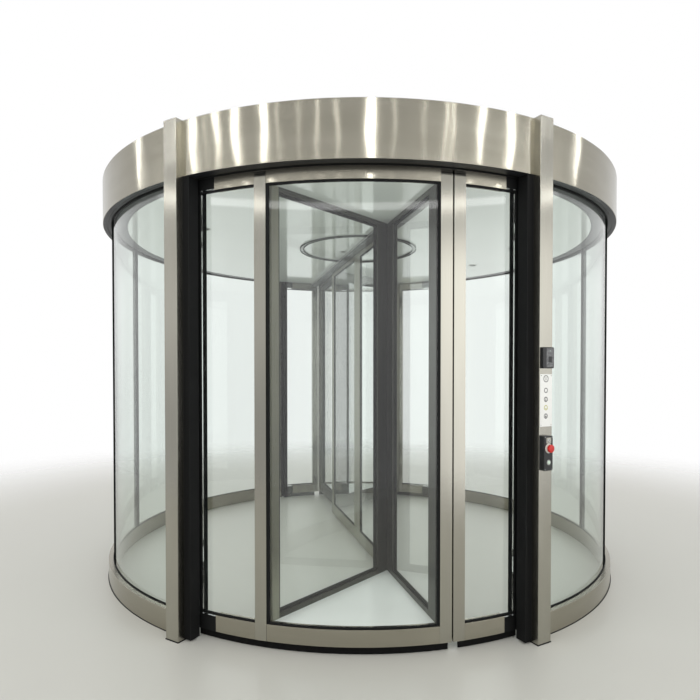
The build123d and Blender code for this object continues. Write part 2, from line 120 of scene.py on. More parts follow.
def start_piece():
    """Empty mesh with its grain map."""
    mesh = bmesh.new()
    mesh.loops.layers.uv.new("grain")
    return mesh


def rounded(points, radius, steps=3):
    """Outline with its corners rounded off."""
    outline = []
    for place, point in enumerate(points):
        corner = Vector(point)
        back = Vector(points[place - 1]) - corner
        ahead = Vector(points[(place + 1) % len(points)]) - corner
        if not radius or back.normalized().dot(ahead.normalized()) < -0.999:
            outline.append(corner)
            continue
        first = corner + back.normalized() * min(radius, back.length * 0.45)
        last = corner + ahead.normalized() * min(radius, ahead.length * 0.45)
        for step in range(steps + 1):
            share = step / steps
            outline.append(first.lerp(corner, share).lerp(corner.lerp(last, share), share))
    return outline


def oblong(inner, outer, low, high):
    """Oblong section between two radii and two heights."""
    return [(inner, low), (outer, low), (outer, high), (inner, high)]


def sweep(mesh, section, start, end, edge=1.0, trim=0, step=1.0, finish=0, upright=False, wave=None):
    """Sweep a section of radius and height round the rotor axis, cut parallel to a post by trim.
    The grain map runs along the curve, or up the piece where it is upright."""
    outline = rounded(section, edge)
    count = max(2, round((end - start) / step))
    rows = []
    for place in range(count + 1):
        share = place / count
        row = []
        for radius, height in outline:
            cut = degrees(asin(trim / radius))
            angle = radians((start + cut) * (1 - share) + (end - cut) * share)
            reach = radius - (wave(angle, height) if wave else 0)
            point = (reach * sin(angle), -reach * cos(angle), height)
            row.append(mesh.verts.new(Vector(point) / 1000))
        rows.append(row)
    walk = [0]
    for place in range(len(outline)):
        walk.append(walk[-1] + (outline[(place + 1) % len(outline)] - outline[place]).length / 1000)
    pace = radians((end - start) / count) * max(radius for radius, height in outline) / 1000
    grain = mesh.loops.layers.uv["grain"]
    for k in range(count):
        for i in range(len(outline)):
            j = (i + 1) % len(outline)
            face = mesh.faces.new((rows[k][i], rows[k + 1][i], rows[k + 1][j], rows[k][j]))
            face.material_index = finish
            for loop, (u, v) in zip(face.loops, ((k, i), (k + 1, i), (k + 1, i + 1), (k, i + 1))):
                loop[grain].uv = (walk[v], u * pace) if upright else (u * pace, walk[v])
    for row in (rows[0], rows[-1]):
        face = mesh.faces.new(row)
        face.material_index = finish
        for loop, (radius, height) in zip(face.loops, outline):
            loop[grain].uv = (radius / 1000, height / 1000)


def close_piece(name, mesh, finishes, body, replaces=(), slot=None):
    """Turn the mesh into a piece that rides on its body and stands for its solids."""
    glass = slot == "clear_glass"
    bmesh.ops.recalc_face_normals(mesh, faces=mesh.faces)
    data = bpy.data.meshes.new(name)
    mesh.to_mesh(data)
    mesh.free()
    data.shade_smooth()
    data.set_sharp_from_angle(angle=radians(4 if glass else 35))
    for finish in finishes:
        data.materials.append(finish)
    piece = bpy.data.objects.new(name, data)
    scene.collection.objects.link(piece)
    if not glass:
        even = piece.modifiers.new("even_faces", "WEIGHTED_NORMAL")
        even.keep_sharp = True
        even.weight = 100
    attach(piece, body)
    if replaces:
        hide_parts(*replaces)
    return piece


# Hairline stainless: brushed along the band with grit 240, warm grey. Real hairlines are 0.1 to 0.3 mm apart,
# they are drawn 2 mm apart so that they show.
hairline_steel = brushed_metal("hairline_stainless_steel", ("#999587", "#A9A598"), (0.15, 0.2), 2, 0.95)

for side, middle in side_middles.items():
    channel = start_piece()
    section = oblong(drum_radius, plinth_outer, 0, plinth_height)
    sweep(channel, section, middle - side_half, middle - plinth_joint, edge=2.5)
    sweep(channel, section, middle + plinth_joint, middle + side_half, edge=2.5)
    close_piece("plinth_" + side + "_channel", channel, [hairline_steel], "drum", ["plinth_" + side],
                "satin_stainless")


# Curved wall glass: 12 mm laminated safety glass, bent hot to the drum's radius, two panes on each side.
# It stands in the plinth's groove and its head goes up into the soffit.
glass_inner = 1803
glass_outer = 1815
glass_low = 95
glass_high = 2389
mullion_half = 12
post_room = 45.3
roller_wave = 303

# Clear float glass: faintly green from its iron, with the slight roller wave of tempering about 300 mm long.
# Soft light and lamps pass straight through it, as through a thin pane.
glass_finishes = []
for name, tint in (("clear_float_glass", "#FBFDFC"), ("green_tinged_laminated_glass", "#F1F6F3")):
    finish, tree = new_finish(name)
    place = add_node(tree, "TexCoord")
    ripple = add_node(tree, "TexNoise", {
        "Vector": place.outputs["Object"], "Scale": 1000 / roller_wave, "Detail": 0.0})
    wave = add_node(tree, "Bump", {
        "Height": ripple.outputs["Fac"], "Strength": 0.05, "Distance": 0.0005})
    pane = add_node(tree, "BsdfPrincipled", {
        "Base Color": linear(tint), "Roughness": 0.0, "IOR": 1.5, "Transmission Weight": 1.0,
        "Normal": wave.outputs["Normal"]})
    through = add_node(tree, "BsdfTransparent", {"Color": linear("#FBFDFC")})
    path = add_node(tree, "LightPath")
    straight = add_node(tree, "Math", {
        0: path.outputs["Is Shadow Ray"], 1: path.outputs["Is Diffuse Ray"]}, operation="MAXIMUM")
    blend = add_node(tree, "MixShader", {
        0: straight.outputs[0], 1: pane.outputs[0], 2: through.outputs[0]})
    if name == "green_tinged_laminated_glass":
        # Seen along its face a bent pane is nearly a metre of glass deep, so its outline is a dark line.
        grazing = add_node(tree, "LayerWeight", {"Blend": 0.5})
        depth = add_node(tree, "MapRange", {
            "Value": grazing.outputs["Facing"], "From Min": 0.87, "From Max": 0.9},
            interpolation_type="SMOOTHSTEP")
        deep = add_node(tree, "BsdfPrincipled", {
            "Base Color": linear("#0B0F0D"), "Roughness": 0.9, "Specular IOR Level": 0.0})
        blend = add_node(tree, "MixShader", {
            0: depth.outputs["Result"], 1: blend.outputs[0], 2: deep.outputs[0]})
    close_finish(tree, blend)
    glass_finishes.append(finish)
clear_glass, laminated_glass = glass_finishes

for side, middle in side_middles.items():
    panes = start_piece()
    section = oblong(glass_inner, glass_outer, glass_low, glass_high)
    joint = degrees(mullion_half / glass_inner)
    reach = side_half - degrees(post_room / glass_inner)
    sweep(panes, section, middle - reach, middle - joint)
    sweep(panes, section, middle + joint, middle + reach)
    close_piece("wall_pane_" + side, panes, [laminated_glass], "drum", ["wall_glass_" + side], "clear_glass")


# Joint profiles and glazing beads: black anodised bars stand between the two panes of each side, and thin
# black silicone beads close the groove at the foot and at the head of the glass, and the plinth's foot.
bead_foot = (119.5, 124)
bead_head = (2358.5, 2364.6)
bead_width = 4
bead_setback = 0.2
bead_overlap = 0.3


def grained(name, codes, grain, detail, sockets, upward=None, relief=0, depth=0.1, shares=(0, 1), cloud=None):
    """Finish with a noise grain of a size in mm, which may be drawn out upwards. Its tone lies between two
    colours and follows the grain, or a broader cloud. Its relief has a strength and a depth in mm."""
    material, tree = new_finish(name)
    place = add_node(tree, "TexCoord")
    size = add_node(tree, "Mapping", {
        "Vector": place.outputs["Object"], "Scale": (1000 / grain, 1000 / grain, 1000 / (upward or grain))})
    noise = add_node(tree, "TexNoise", {"Vector": size.outputs["Vector"], "Scale": 1.0, "Detail": detail})
    pattern = noise
    if cloud:
        pattern = add_node(tree, "TexNoise", {
            "Vector": place.outputs["Object"], "Scale": 1000 / cloud, "Detail": 2.0})
    tone = add_node(tree, "ValToRGB", {"Fac": pattern.outputs["Fac"]})
    for stop, share, code in zip(tone.color_ramp.elements, shares, codes):
        stop.position = share
        stop.color = linear(code)
    sockets["Base Color"] = tone.outputs["Color"]
    if relief:
        bump = add_node(tree, "Bump", {
            "Height": noise.outputs["Fac"], "Strength": relief, "Distance": depth / 1000})
        sockets["Normal"] = bump.outputs["Normal"]
    close_finish(tree, add_node(tree, "BsdfPrincipled", sockets))
    return material


def dress(finish, *names):
    """Give solids that stay in view their finish."""
    for name in names:
        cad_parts[name].data.materials.clear()
        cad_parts[name].data.materials.append(finish)


# Black anodised aluminium: extruded, fine matt, its die lines run up the bar and are drawn 2.5 mm apart so
# that they show.
black_anodised = grained("black_anodised_aluminium", ("#0E0F0F", "#232423"), 2.5, 3.0,
                         {"Roughness": 0.38, "IOR": 1.5}, upward=333, relief=0.2)

# Black rubber and silicone: moulded, matt, with a fine dusty grain of about 1 mm.
black_rubber = grained("black_rubber", ("#090A0A", "#161717"), 1.11, 3.0,
                       {"Roughness": 0.6, "IOR": 1.5, "Specular IOR Level": 0.2}, relief=0.25, depth=0.2)

dress(black_anodised, "wall_mullions")

inner_bead = (drum_radius + bead_setback, glass_inner + bead_overlap)
outer_bead = (glass_outer - bead_overlap, glass_outer + bead_width)
foot_inner = plinth_outer - bead_overlap
foot_section = [(foot_inner, 0), (plinth_outer + bead_width, 0), (foot_inner, bead_width)]
beads = start_piece()
for middle in side_middles.values():
    start, end = middle - side_half, middle + side_half
    for low, high in (bead_foot, bead_head):
        for inner, outer in (inner_bead, outer_bead):
            sweep(beads, oblong(inner, outer, low, high), start, end, trim=post_room)
    sweep(beads, foot_section, start, end, edge=0, trim=post_room)
close_piece("glazing_beads", beads, [black_rubber], "drum", slot="black_rubber")


# Posts: four stainless boxes folded from 4 mm sheet, closed at the top, that carry the canopy. They are
# brushed upright, and the wide front face stands proud of the fascia. The black rubber strip round the foot
# is
# painted shade: it stands in for the dark contact shadow where the post meets the floor.
post_half = 45
post_face = 1905
post_top = 2646
post_foot_shadow_width = 2
post_foot_shadow_height = 5
post_turns = {"front_right": post_angle, "front_left": -post_angle,
              "back_right": 180 - post_angle, "back_left": post_angle - 180}


def turned(angle):
    """Frame turned about the rotor axis."""
    return Matrix.Rotation(radians(angle), 4, "Z")


def join(mesh, part, place, finish, grain=None):
    """Add a finished part to a piece, moved into its frame. Its grain map is given by the place."""
    layer = part.loops.layers.uv["grain"]
    for face in part.faces:
        face.material_index = finish
        for loop in face.loops if grain else ():
            loop[layer].uv = grain(*loop.vert.co)
    part.transform(place)
    data = bpy.data.meshes.new("part")
    part.to_mesh(data)
    part.free()
    mesh.from_mesh(data)
    bpy.data.meshes.remove(data)


def bar(mesh, place, along, side, height, edge=1.0, upright=True, finish=0):
    """Bar with softened edges: its distance from the frame's origin towards the front, its offset to the
    right and its height. The grain map runs up it or along it."""
    part = start_piece()
    corners = bmesh.ops.create_cube(part, size=1.0)["verts"]
    low = Vector((side[0], -along[1], height[0])) / 1000
    high = Vector((side[1], -along[0], height[1])) / 1000
    for corner in corners:
        for axis in range(3):
            corner.co[axis] = high[axis] if corner.co[axis] > 0 else low[axis]
    bmesh.ops.bevel(part, geom=part.edges[:], offset=edge / 1000, segments=2, profile=0.5, affect="EDGES")
    join(mesh, part, place, finish, lambda x, y, z: (z, x + y) if upright else (y, x + z))


# Upright brushed stainless: the same steel, brushed from top to bottom, a little smoother.
upright_steel = brushed_metal("upright_brushed_stainless_steel", ("#A4A196", "#B1AFA5"), (0.14, 0.18), 2,
                              0.95)

post_foot_shadow_half = post_half + post_foot_shadow_width
for name, angle in post_turns.items():
    box = start_piece()
    bar(box, turned(angle), (drum_radius, post_face), (-post_half, post_half), (0, post_top), 2.5)
    # Black rubber strip round the post's foot: painted contact shadow at the floor, not a real seal.
    bar(box, turned(angle), (drum_radius, post_face + post_foot_shadow_width), (-post_foot_shadow_half, post_foot_shadow_half),
        (0, post_foot_shadow_height), 0.5, upright=False, finish=1)
    close_piece("post_box_" + name, box, [upright_steel, black_rubber], "drum", ["post_" + name],
                "satin_stainless")


# Safety edges: hollow black rubber profiles with five ribs, up the entrance side of each post. They sense a
# touch and stop the rotor.
dress(black_rubber, "edge_seals_front", "edge_seals_back")


# Fascia: four bands of 1.5 mm stainless sheet, rolled and hung on the ring beam, with a lip folded in at the
# foot. The sheet is slightly uneven, so the lamps draw wavy upright streaks on it.
fascia_outer = 1870
fascia_inner = 1866
fascia_low = 2360
fascia_high = 2640
fascia_rows = 10
lip_inner = 1844
lip_top = 2364
lip_setback = 2
fascia_spans = {"front": (0, post_angle), "right": (90, side_half), "back": (180, post_angle),
                "left": (270, side_half)}


def uneven(angle, height):
    """How far the sheet lies inward at a place: two slanting sways and a longer one, on a mean of 0.48 mm."""
    arc = angle * fascia_outer
    sway = sin(arc / 47 + height / 50) * 0.16 + sin(arc / 34 - height / 74 + 1.3) * 0.12
    return 0.48 + sway + sin(arc / 130) * 0.2


# Slate grey powder coating of the lip: satin, with a fine orange peel of about 1 mm.
slate_coating = grained("slate_grey_powder_coating", ("#1D1F22", "#292B2E"), 1.11, 1.0,
                        {"Roughness": 0.4}, relief=0.1, depth=0.2)

row_height = (fascia_high - fascia_low) / fascia_rows
outer_face = [(fascia_outer, fascia_low + row_height * row) for row in range(fascia_rows + 1)]
band_section = outer_face + [(fascia_inner, fascia_high), (fascia_inner, fascia_low)]
lip_section = [(fascia_inner, lip_top), (lip_inner, lip_top), (lip_inner, fascia_low),
               (fascia_outer - lip_setback, fascia_low)]
for name, (middle, reach) in fascia_spans.items():
    band = start_piece()
    sweep(band, band_section, middle - reach, middle + reach, edge=1.5, trim=post_room, step=0.5, wave=uneven)
    sweep(band, lip_section, middle - reach, middle + reach, trim=post_room, finish=1)
    close_piece("fascia_band_" + name, band, [hairline_steel, slate_coating], "drum", ["fascia_" + name],
                "satin_stainless")


# Soffit: black ring that rests on the lip of the fascia and closes the canopy from below, with a slate grey
# strip clipped into it outside the glass.
strip_inner = 1822
strip_outer = 1836
strip_low = 2362.6
strip_high = 2364.5

dress(black_anodised, "soffit_ring")
strip = start_piece()
for middle, reach in fascia_spans.values():
    section = oblong(strip_inner, strip_outer, strip_low, strip_high)
    sweep(strip, section, middle - reach, middle + reach, edge=0.4, trim=post_room)
close_piece("soffit_strip", strip, [slate_coating], "drum", slot="black_profile")


# Canopy frame and roof: primed steel beams welded end to end, hidden above the ceiling, under a flat cover
# of galvanised sheet whose joints are closed by riveted stainless strips.
roof_top = 2632
cover_offsets = (-900, 0, 900)
cover_half = 30
cover_thick = 2
cover_sink = 0.5
cover_reach = 1790
rim_margin = 40
rivet_rows = (-18, 18)
rivet_pitch = 180
rivet_share = 0.98
rivet = [(0, 2.2), (2.5, 2.0), (4.2, 1.2), (5, 0), (5, -0.5)]

# Grey primer: brushed on by hand, matt, its strokes about 40 mm across.
grey_primer = grained("grey_primed_steel", ("#6E706E", "#8A8C8A"), 40, 4.0, {"Roughness": 0.6},
                      relief=0.3, depth=0.5)

# Galvanised sheet: hot dipped zinc, its spangle is about 15 mm across.
spangle_size = 15.38
galvanised, tree = new_finish("galvanised_steel_sheet")
place = add_node(tree, "TexCoord")
spangle = add_node(tree, "TexVoronoi", {
    "Vector": place.outputs["Object"], "Scale": 1000 / spangle_size})
grey = add_node(tree, "SeparateColor", {"Color": spangle.outputs["Color"]})
tone = add_node(tree, "ValToRGB", {"Fac": grey.outputs[0]})
for stop, code in zip(tone.color_ramp.elements, ("#9DA1A2", "#B9BDBE")):
    stop.color = linear(code)
matt = add_node(tree, "MapRange", {"Value": grey.outputs[1], "To Min": 0.34, "To Max": 0.5})
close_finish(tree, add_node(tree, "BsdfPrincipled", {
    "Base Color": tone.outputs["Color"], "Metallic": 1.0, "Roughness": matt.outputs["Result"]}))

dress(grey_primer, "canopy_frame")
dress(galvanised, "canopy_roof")


def bridge(part, rows):
    """Faces between closed rows of points. A row may be one point, repeated."""
    for here, there in zip(rows, rows[1:]):
        for i in range(len(here)):
            j = (i + 1) % len(here)
            part.faces.new(dict.fromkeys((here[i], here[j], there[j], there[i])))


def lathe(mesh, place, profile, steps=32, finish=0):
    """Turn a profile of radius and height about the z axis of a frame, from one end to the other."""
    part = start_piece()
    rows = []
    for radius, height in profile:
        turns = [2 * pi * step / steps for step in range(steps if radius else 1)]
        points = [Vector((radius * cos(turn), radius * sin(turn), height)) / 1000 for turn in turns]
        row = [part.verts.new(point) for point in points]
        rows.append(row if radius else row * steps)
    bridge(part, rows)
    join(mesh, part, place, finish,
         lambda x, y, z: (atan2(y, x) * hypot(x, y), hypot(x, y) + z))


def shifted(x, y, z):
    """Frame moved by a distance."""
    return Matrix.Translation(Vector((x, y, z)) / 1000)


strips = start_piece()
for offset in cover_offsets:
    half = min(sqrt((fascia_inner - rim_margin) ** 2 - offset ** 2), cover_reach)
    bar(strips, Matrix(), (-half, half), (offset - cover_half, offset + cover_half),
        (roof_top - cover_sink, roof_top + cover_thick), 0.5, upright=False)
    count = int(half * 2 // rivet_pitch)
    for step in range(count + 1):
        along = half * rivet_share * (2 * step / count - 1)
        for row in rivet_rows:
            lathe(strips, shifted(offset + row, along, roof_top + cover_thick), rivet, steps=12)
close_piece("roof_cover_strips", strips, [upright_steel], "drum", slot="satin_stainless")


# Card reader on the front right post: a moulded plastic case with a speckled face, a raised key pad and a
# small signal lens, screwed to the face of the post.
reader_width = 78
reader_height = 106
reader_depth = 18
reader_middle = 1445
face_shift = 9
face_size = (52, 94)
face_proud = 0.6
pad_size = (24, 30)
pad_proud = 1.2
pad_drop = 8
lens_rise = 34
lens_profile = [(0, 19.6), (2, 19.4), (2.6, 18)]

# Black moulded plastic: spark texture of about 0.6 mm, satin.
black_plastic = grained("black_moulded_plastic", ("#0F1011", "#1F2021"), 0.625, 2.0,
                        {"Roughness": 0.35}, relief=0.3)

# Speckled grey plastic of the reader's face: cast with flakes of about 4 mm, nearly smooth.
speckled_plastic = grained("speckled_grey_plastic", ("#3E3F40", "#7C7D7E"), 3.846, 4.0,
                           {"Roughness": 0.3}, shares=(0.42, 0.58))

# Printing inks and small coloured plastics, each with a faint moulded grain of about 1.5 mm.
ink_grain = 1.43
ink_codes = {"grey_printing_ink": "#2B2D2D", "yellow_green_printing_ink": "#A9A93E",
             "red_moulded_plastic": "#C5221B", "pale_green_button_plastic": "#C9DCCB",
             "pale_collar_plastic": "#D8D6CC"}
inks = {}
for name, code in ink_codes.items():
    inks[name], tree = new_finish(name)
    place = add_node(tree, "TexCoord")
    faint = add_node(tree, "TexNoise", {
        "Vector": place.outputs["Object"], "Scale": 1000 / ink_grain, "Detail": 2.0})
    matt = add_node(tree, "MapRange", {"Value": faint.outputs["Fac"], "To Min": 0.25, "To Max": 0.4})
    close_finish(tree, add_node(tree, "BsdfPrincipled", {
        "Base Color": linear(code), "Roughness": matt.outputs["Result"]}))


def on_post_face(x, z):
    """Frame on the face of the front right post: x to the right, y up, z out of the face."""
    return turned(post_angle) @ shifted(x, -post_face, z) @ Matrix.Rotation(radians(90), 4, "X")


def plate(mesh, place, width, height, thick, corner, edge=1.0, base=0, finish=0):
    """Rounded plate in the x and y plane of a frame, with its outer edge softened."""
    part = start_piece()
    w, h = width / 2, height / 2
    outline = rounded([(-w, -h), (w, -h), (w, h), (-w, h)], corner, 5)
    rows = []
    for inset, level in ((0, base), (0, thick - edge), (edge * 0.3, thick - edge * 0.3), (edge, thick)):
        points = [(x - copysign(inset, x), y - copysign(inset, y), level) for x, y in outline]
        rows.append([part.verts.new(Vector(point) / 1000) for point in points])
    bridge(part, rows)
    part.faces.new(rows[0])
    part.faces.new(rows[-1])
    join(mesh, part, place, finish, lambda x, y, z: (y, x))


reader = start_piece()
plate(reader, on_post_face(0, reader_middle), reader_width, reader_height, reader_depth, corner=8, edge=3)
plate(reader, on_post_face(face_shift, reader_middle), *face_size, reader_depth + face_proud, corner=6,
      base=reader_depth - 2, finish=1)
plate(reader, on_post_face(face_shift, reader_middle - pad_drop), *pad_size, reader_depth + pad_proud,
      corner=4, edge=0.5, base=reader_depth)
lathe(reader, on_post_face(face_shift, reader_middle + lens_rise), lens_profile, steps=16, finish=2)
close_piece("card_reader_case", reader, [black_plastic, speckled_plastic, inks["pale_green_button_plastic"]],
            "drum", ["card_reader"], "black_plastic")


# Notice plate below the reader: enamelled sheet with five round signs printed on it, held by a screw in each
# corner. Each sign is a ring with plain bars, and every other one has a dot.
notice_size = (84, 263, 2)
notice_middle = 1232
sign_shift = -2
sign_places = ((1340, 17.5), (1282, 13), (1237, 13), (1195, 13), (1153, 13))
sign_line = 3.5
sign_low = 1.8
sign_high = 2.3
sign_row = 12
sign_dot = [(0, sign_high), (2.6, sign_high), (2.8, sign_low)]
sign_dot_rise = 5
sign_body = ((-1, 8), (-2, 2))
bar_half = 1.1
notice_screw = [(0, 3.2), (1.8, 3.0), (2.6, 2.2), (2.8, 1.9)]
notice_screw_across = 36
notice_screw_rise = 124

# White enamelled plate: screen printed and clear lacquered, faintly mottled.
white_enamel = grained("white_enamelled_plate", ("#E2E2DC", "#EEEEEA"), 16.67, 3.0,
                       {"Roughness": 0.25, "Coat Weight": 0.4, "Coat Roughness": 0.1})

notice = start_piece()
plate(notice, on_post_face(0, notice_middle), *notice_size, corner=3, edge=0.5)
for number, (height, size) in enumerate(sign_places):
    spot = on_post_face(sign_shift, height)
    ink = 2 if number == 3 else 1
    ring = [(size - sign_line, sign_low), (size - sign_line, sign_high), (size, sign_high), (size, sign_low)]
    lathe(notice, spot, ring, finish=ink)
    if number % 2 == 0:
        lathe(notice, spot @ shifted(0, sign_dot_rise, 0), sign_dot, steps=20, finish=ink)
        bar(notice, spot, *sign_body, (sign_low, sign_high), edge=0.2, finish=ink)
    for step in range(number):
        across = sign_row * ((step + 0.5) / number - 0.5)
        bar(notice, spot, (4 - number, 6), (across - bar_half, across + bar_half), (sign_low, sign_high),
            edge=0.2, finish=ink)
for x in (-notice_screw_across, notice_screw_across):
    for z in (notice_middle - notice_screw_rise, notice_middle + notice_screw_rise):
        lathe(notice, on_post_face(x, z), notice_screw, steps=12, finish=3)
close_piece("notice_plate_face", notice, [white_enamel, inks["grey_printing_ink"],
                                          inks["yellow_green_printing_ink"], upright_steel],
            "drum", ["notice_plate"], "white_plate")


# Switch box and stop button: a moulded case with a steel key switch at the top, a small pale push button at
# the foot and between them the red mushroom button in its collar, which is pressed in to stop the rotor.
box_width = 60
box_height = 173
box_depth = 30
box_middle = 970
box_shift = -12
key_height = box_middle + 64
key_plate = (34, 30)
key_plate_proud = 1.2
key_slot = ((-4.5, 4.5), (-0.6, 0.6), (33.4, 33.8))
key_barrel = [(0, 33.5), (6, 33.5), (7, 32.5), (9.5, 32.2), (10, 31), (10, 30)]
stop_height = box_middle + 25
stop_collar = [(11.3, 29), (11.3, 33.5), (16, 34), (23, 33), (24, 31), (24, 29)]
push_height = box_middle - 45
push_button = [(0, 35), (7, 34.6), (8.6, 33.4), (9, 30), (9, 29)]
push_ring = [(9.6, 29.5), (9.6, 32.4), (12, 32.4), (13.5, 31), (13.5, 29.5)]
box_screw = [(0, 30.9), (1.8, 30.8), (2.5, 30.2), (2.6, 29.5)]
box_screw_across = 24
box_screw_rise = 80
mushroom_radius = 20
dome_low = 48
dome_rise = 4
dome_angles = [radians(angle) for angle in range(15, 91, 15)]
mushroom_dome = [(0, dome_low + dome_rise)]
mushroom_dome += [(mushroom_radius * sin(a), dome_low + dome_rise * cos(a)) for a in dome_angles]
mushroom_foot = [(20, 41), (19, 38.6), (17, 38), (11, 38), (11, 15.3), (0, 15.3)]

# Satin anodised aluminium: pale, extruded, its die lines are drawn 2.5 mm apart along the bar.
satin_aluminium = brushed_metal("satin_anodised_aluminium", ("#A9ABA7", "#C2C4C0"), (0.3, 0.36), 2.5, 0.6)

switch = start_piece()
key_place = on_post_face(box_shift, key_height)
plate(switch, on_post_face(box_shift, box_middle), box_width, box_height, box_depth, corner=6, edge=2)
plate(switch, key_place, *key_plate, box_depth + key_plate_proud, corner=3, edge=0.5, base=box_depth - 1,
      finish=1)
bar(switch, key_place, *key_slot, edge=0.1)
for height, profile, finish in ((key_height, key_barrel, 2), (stop_height, stop_collar, 3),
                                (push_height, push_button, 4), (push_height, push_ring, 2)):
    lathe(switch, on_post_face(box_shift, height), profile, steps=36 if finish == 3 else 28, finish=finish)
for x in (-box_screw_across, box_screw_across):
    for z in (-box_screw_rise, box_screw_rise):
        lathe(switch, on_post_face(box_shift + x, box_middle + z), box_screw, steps=12, finish=2)
close_piece("switch_box_case", switch,
            [black_plastic, upright_steel, satin_aluminium, inks["pale_collar_plastic"],
             inks["pale_green_button_plastic"]], "drum", ["control_box"], "black_plastic")

button = start_piece()
lathe(button, on_post_face(box_shift, stop_height), mushroom_dome + mushroom_foot, steps=40)
close_piece("stop_button_head", button, [inks["red_moulded_plastic"]], "stop_button", ["stop_button"],
            "red_plastic")


# Rotor frame, ceiling and centre ring: a welded rim with arms hangs from the bearing and carries the
# showcases, a gloss ceiling panel closes it from below, and a satin ring with black edges marks the middle.
ceiling_level = 2360
halves = {"front": 0, "back": 180}
wing_angle = 15.5
header_half = 62
header_play = 0.3
trim_radius = 455
trim_half = 12
trim_low = 2357
trim_edge = 3
trim_edge_low = 2350

# Gloss ceiling panel: stove enamelled aluminium, white with a green tinge, faint orange peel of about 3 mm.
ceiling_enamel = grained("gloss_enamelled_ceiling_panel", ("#ECF1EC", "#F5F9F5"), 3.03, 1.0,
                         {"Roughness": 0.12, "Coat Weight": 0.6, "Coat Roughness": 0.04}, relief=0.05,
                         depth=0.2, cloud=500)

dress(black_anodised, "rotor_frame")
dress(ceiling_enamel, "rotor_ceiling")

trim = start_piece()
header_cut = degrees(asin((header_half + header_play) / trim_radius))
trim_inner = trim_radius - trim_half
trim_outer = trim_radius + trim_half
for angle in halves.values():
    start = angle + wing_angle + header_cut
    end = start + 180 - 2 * header_cut
    sweep(trim, oblong(trim_inner, trim_outer, trim_low, ceiling_level), start, end, edge=0.6, step=3)
    for inner in (trim_inner - trim_edge, trim_outer):
        section = oblong(inner, inner + trim_edge, trim_edge_low, ceiling_level)
        sweep(trim, section, start, end, edge=0.5, step=3, finish=1)
close_piece("centre_ring_trim", trim, [satin_aluminium, black_rubber], "rotor", ["centre_ring"],
            "satin_stainless")


# Ceiling fittings: recessed round fittings with a pale rim and a dark lens, at a radius, angle and size.
fitting_places = [(1235, -58.5, 38), (1235, 121.5, 38), (1225, 88.6, 38), (145, 60, 32), (145, 240, 32)]

fittings = start_piece()
for radius, angle, size in fitting_places:
    place = turned(angle) @ shifted(0, -radius, ceiling_level)
    rim = [(size - 12, 1), (size - 10, -2), (size - 4, -3), (size - 1, -2), (size, 0.5)]
    lens = [(0, -0.6), (size - 14, -0.4), (size - 11, 0.4)]
    lathe(fittings, place, rim, steps=40)
    lathe(fittings, place, lens, steps=40, finish=1)
close_piece("ceiling_fittings", fittings, [satin_aluminium, black_plastic], "rotor", slot="satin_stainless")


# Shells: the curved fronts of the two showcases, on the rotor's rim. Stainless stiles and rails hold the
# glass with black gaskets. The middle panel is a separate access panel with a narrow gap on each side.
shell_outer = 1790
shell_inner = 1740
rail_low = 43
rail_high = 128
head_low = 2295
head_top = ceiling_level - 0.3
pane_outer = 1782
pane_inner = 1772
pane_bite = 10
gasket_height = 8
gasket_width = 12
gasket_face = 1786
gasket_back = 1768
gasket_overlap = 0.5
stile_width = 62
left_end_strip = 91
right_end_strip = 62


def arc(length):
    """Angle that a length takes up on the outer face of the shell."""
    return degrees(length / shell_outer)


seal_end = post_angle - arc(61)
shell_end = seal_end - arc(31)
left_rail_end = shell_end - arc(left_end_strip)
right_rail_end = shell_end - arc(right_end_strip)
access_start = -arc(452)
access_end = arc(471)
left_stile_end = access_start - arc(1.5)
left_stile_start = left_stile_end - arc(stile_width)
access_stile_start = access_end - arc(stile_width)
right_stile_start = access_end + arc(8)
right_stile_end = right_stile_start + arc(stile_width)
play = arc(0.4)


def curved_rail(mesh, low, high, start, end):
    """Rail of a shell panel, brushed along the curve."""
    sweep(mesh, oblong(shell_inner, shell_outer, low, high), start, end, edge=1.5, step=0.5, finish=1)


def curved_stile(mesh, start, end):
    """Stile of a shell panel, brushed upright."""
    section = oblong(shell_inner, shell_outer, rail_low, head_top)
    sweep(mesh, section, start, end, edge=0, step=0.25, upright=True)


def gasket_frame(mesh, low, high, start, end, sides):
    """Gaskets of a pane, inside and outside: along its rails, and up its sides where the panel has them."""
    wide = arc(gasket_width)
    outside = (pane_outer - gasket_overlap, gasket_face)
    inside = (gasket_back, pane_inner + gasket_overlap)
    for inner, outer in (outside, inside):
        for level in (low, high - gasket_height):
            sweep(mesh, oblong(inner, outer, level, level + gasket_height), start, end, step=0.5)
        for side in (start, end - wide) if sides else ():
            sweep(mesh, oblong(inner, outer, low, high), side, side + wide, step=0.25)


